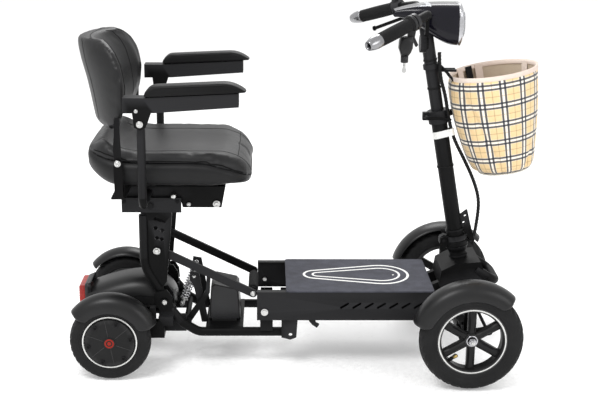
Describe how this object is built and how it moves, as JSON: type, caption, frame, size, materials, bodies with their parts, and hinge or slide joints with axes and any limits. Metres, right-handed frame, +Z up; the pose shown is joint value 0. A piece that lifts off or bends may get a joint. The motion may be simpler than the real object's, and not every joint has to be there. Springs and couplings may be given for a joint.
{
  "type": "mobility scooter",
  "caption": "Folding electric mobility scooter with padded seat, flip-up armrests, raked folding column, flat foot deck and cloth basket.",
  "frame": {"origin": "on the floor under the middle of the overall length and width", "axes": "+X forward in the direction of travel, +Y to the rider's left, +Z up"},
  "size_m": [1.16, 0.564, 0.9104],
  "materials": {
    "black_steel": "satin powder coat",
    "deck_grip": "fine abrasive grip",
    "battery_case": "matte",
    "bolt_steel": "bright zinc",
    "black_plastic": "satin",
    "gloss_black": "gloss",
    "red_lens": "gloss red lens",
    "clear_lens": "clear reflector lens",
    "tyre_rubber": "matte tread",
    "rim_black": "satin black cast aluminium",
    "vinyl": "soft matte vinyl",
    "foam_grip": "foam rubber",
    "basket_cloth": "woven tan checked cloth",
    "cable_wrap": "spiral wrap"
  },
  "bodies": {
    "chassis": {"deck_channel": "black_steel", "foot_plate": "deck_grip", "battery_pack": "battery_case", "deck_bolts": "bolt_steel", "front_frame": "black_steel", "bumper_tube": "black_steel", "lower_rails": "black_steel", "clamp_blocks": "black_steel", "axle_beam": "black_steel", "motor_cover": "black_plastic", "tail_light": "red_lens", "controller_box": "black_plastic", "rear_fender_left": "black_plastic", "rear_fender_right": "black_plastic", "rear_springs": "bolt_steel"},
    "release": {"release_lever": "black_steel"},
    "steering": {"steer_shaft": "black_steel"},
    "track_rod": {"tie_rod": "black_steel"},
    "column": {"column_tube": "black_steel", "clamp_collar": "black_steel", "cable_harness": "cable_wrap"},
    "clamp": {"clamp_lever": "black_steel"},
    "handlebars": {"inner_tube": "black_steel", "handlebar": "black_steel", "grip_left": "foam_grip", "grip_right": "foam_grip", "display_pod": "gloss_black", "headlight_lens": "clear_lens", "key_switch": "black_plastic", "brake_clamp": "black_plastic", "basket": "basket_cloth", "basket_bracket": "black_steel"},
    "ignition_key": {"key": "bolt_steel"},
    "throttle": {"throttle_lever": "black_plastic"},
    "brake": {"brake_lever": "black_steel"},
    "horn": {"horn_button": "gloss_black"},
    "seat_frame": {"seat_posts": "black_steel"},
    "brace": {"brace_bars": "black_steel"},
    "roller": {"brace_roller": "foam_grip"},
    "seat": {"seat_base": "black_steel", "seat_cushion": "vinyl"},
    "backrest": {"seat_back": "vinyl"},
    "rear_wheel_left": {"rear_tyre_left": "tyre_rubber", "hub_motor_left": "rim_black"},
    "front_hub_left": {"knuckle_left": "black_steel", "front_fender_left": "black_plastic"},
    "front_wheel_left": {"front_tyre_left": "tyre_rubber", "front_rim_left": "rim_black"},
    "arm_support_left": {"armrest_post_left": "black_steel"},
    "armrest_left": {"armrest_arm_left": "black_steel", "armrest_pad_left": "vinyl"},
    "rear_wheel_right": {"rear_tyre_right": "tyre_rubber", "hub_motor_right": "rim_black"},
    "front_hub_right": {"knuckle_right": "black_steel", "front_fender_right": "black_plastic"},
    "front_wheel_right": {"front_tyre_right": "tyre_rubber", "front_rim_right": "rim_black"},
    "arm_support_right": {"armrest_post_right": "black_steel"},
    "armrest_right": {"armrest_arm_right": "black_steel", "armrest_pad_right": "vinyl"}
  },
  "joints": [
    {"name": "steer", "type": "hinge", "parent": "chassis", "child": "steering", "pos_m": [0.39634, 0, 0.29], "axis": [-0.1822, 0, 0.9833], "range_deg": [-30, 30]},
    {"name": "kingpin_left", "type": "hinge", "parent": "chassis", "child": "front_hub_left", "pos_m": [0.401, 0.19, 0.1275], "axis": [-0.1822, 0, 0.9833], "range_deg": [-31, 31]},
    {"name": "front_wheel_spin_left", "type": "hinge", "parent": "front_hub_left", "child": "front_wheel_left", "pos_m": [0.401, 0.245, 0.1275], "axis": [0, 1, 0], "continuous": true},
    {"name": "rear_wheel_spin_left", "type": "hinge", "parent": "chassis", "child": "rear_wheel_left", "pos_m": [-0.48, 0.182, 0.1], "axis": [0, 1, 0], "continuous": true},
    {"name": "armrest_width_left", "type": "slide", "parent": "seat", "child": "arm_support_left", "axis": [0, 1, 0], "range_m": [0, 0.03]},
    {"name": "armrest_flip_left", "type": "hinge", "parent": "arm_support_left", "child": "armrest_left", "pos_m": [-0.385, 0.24, 0.658], "axis": [0, 1, 0], "range_deg": [-95, 0]},
    {"name": "kingpin_right", "type": "hinge", "parent": "chassis", "child": "front_hub_right", "pos_m": [0.401, -0.19, 0.1275], "axis": [-0.1822, 0, 0.9833], "range_deg": [-31, 31]},
    {"name": "front_wheel_spin_right", "type": "hinge", "parent": "front_hub_right", "child": "front_wheel_right", "pos_m": [0.401, -0.245, 0.1275], "axis": [0, 1, 0], "continuous": true},
    {"name": "rear_wheel_spin_right", "type": "hinge", "parent": "chassis", "child": "rear_wheel_right", "pos_m": [-0.48, -0.182, 0.1], "axis": [0, 1, 0], "continuous": true},
    {"name": "armrest_width_right", "type": "slide", "parent": "seat", "child": "arm_support_right", "axis": [0, -1, 0], "range_m": [0, 0.03]},
    {"name": "armrest_flip_right", "type": "hinge", "parent": "arm_support_right", "child": "armrest_right", "pos_m": [-0.385, -0.24, 0.658], "axis": [0, 1, 0], "range_deg": [-95, 0]},
    {"name": "track_rod_pivot", "type": "hinge", "parent": "steering", "child": "track_rod", "pos_m": [0.47742, 0, 0.12692], "axis": [-0.1822, 0, 0.9833], "range_deg": [-31, 31]},
    {"name": "column_fold", "type": "hinge", "parent": "steering", "child": "column", "pos_m": [0.36, 0, 0.304], "axis": [0, 1, 0], "range_deg": [-65, 0], "deforming": ["cable_harness"]},
    {"name": "column_height", "type": "slide", "parent": "column", "child": "handlebars", "axis": [-0.1822, 0, 0.9833], "range_m": [-0.092, 0.001], "deforming": ["cable_harness"]},
    {"name": "clamp_release", "type": "hinge", "parent": "column", "child": "clamp", "pos_m": [0.30207, 0, 0.628], "axis": [0, 1, 0], "range_deg": [-100, 0]},
    {"name": "key_turn", "type": "hinge", "parent": "handlebars", "child": "ignition_key", "pos_m": [0.222, -0.178, 0.79], "axis": [0, 0, 1], "range_deg": [0, 90]},
    {"name": "throttle_push", "type": "hinge", "parent": "handlebars", "child": "throttle", "pos_m": [0.24365, -0.16187, 0.88138], "axis": [-0.7299, -0.6256, -0.2756], "range_deg": [0, 20], "stiffness_Nm_per_rad": 0.3, "springref_deg": -5.73},
    {"name": "brake_squeeze", "type": "hinge", "parent": "handlebars", "child": "brake", "pos_m": [0.262, 0.15, 0.858], "axis": [0, 0, 1], "range_deg": [0, 10], "stiffness_Nm_per_rad": 1, "springref_deg": -5.73},
    {"name": "horn_press", "type": "slide", "parent": "handlebars", "child": "horn", "axis": [0, 0, -1], "range_m": [0, 0.0015], "stiffness_N_per_m": 400, "springref_m": -0.001},
    {"name": "seat_frame_fold", "type": "hinge", "parent": "chassis", "child": "seat_frame", "pos_m": [-0.351, 0, 0.175], "axis": [0, 1, 0], "range_deg": [0, 65]},
    {"name": "seat_level", "type": "hinge", "parent": "seat_frame", "child": "seat", "pos_m": [-0.38, 0, 0.426], "axis": [0, 1, 0], "range_deg": [-66, 1]},
    {"name": "brace_pivot", "type": "hinge", "parent": "seat_frame", "child": "brace", "pos_m": [-0.369, 0, 0.304], "axis": [0, 1, 0], "range_deg": [-73, 1]},
    {"name": "roller_spin", "type": "hinge", "parent": "brace", "child": "roller", "pos_m": [-0.13, 0, 0.187], "axis": [0, 1, 0], "continuous": true},
    {"name": "backrest_fold", "type": "hinge", "parent": "seat", "child": "backrest", "pos_m": [-0.444, 0, 0.555], "axis": [0, 1, 0], "range_deg": [0, 45]},
    {"name": "release_pull", "type": "hinge", "parent": "chassis", "child": "release", "pos_m": [-0.3, -0.071, 0.106], "axis": [0, 1, 0], "range_deg": [0, 14], "stiffness_Nm_per_rad": 2, "springref_deg": -8.59}
  ],
  "couplings": [
    {"joint": "kingpin_left", "follows": "steer", "ratio": 1},
    {"joint": "kingpin_right", "follows": "steer", "ratio": 1},
    {"joint": "track_rod_pivot", "follows": "steer", "ratio": -1},
    {"joint": "column_height", "follows": "column_fold", "m_per_rad": 0.07933},
    {"joint": "seat_level", "follows": "seat_frame_fold", "ratio": -1},
    {"joint": "brace_pivot", "follows": "seat_frame_fold", "ratio": -1.1}
  ]
}
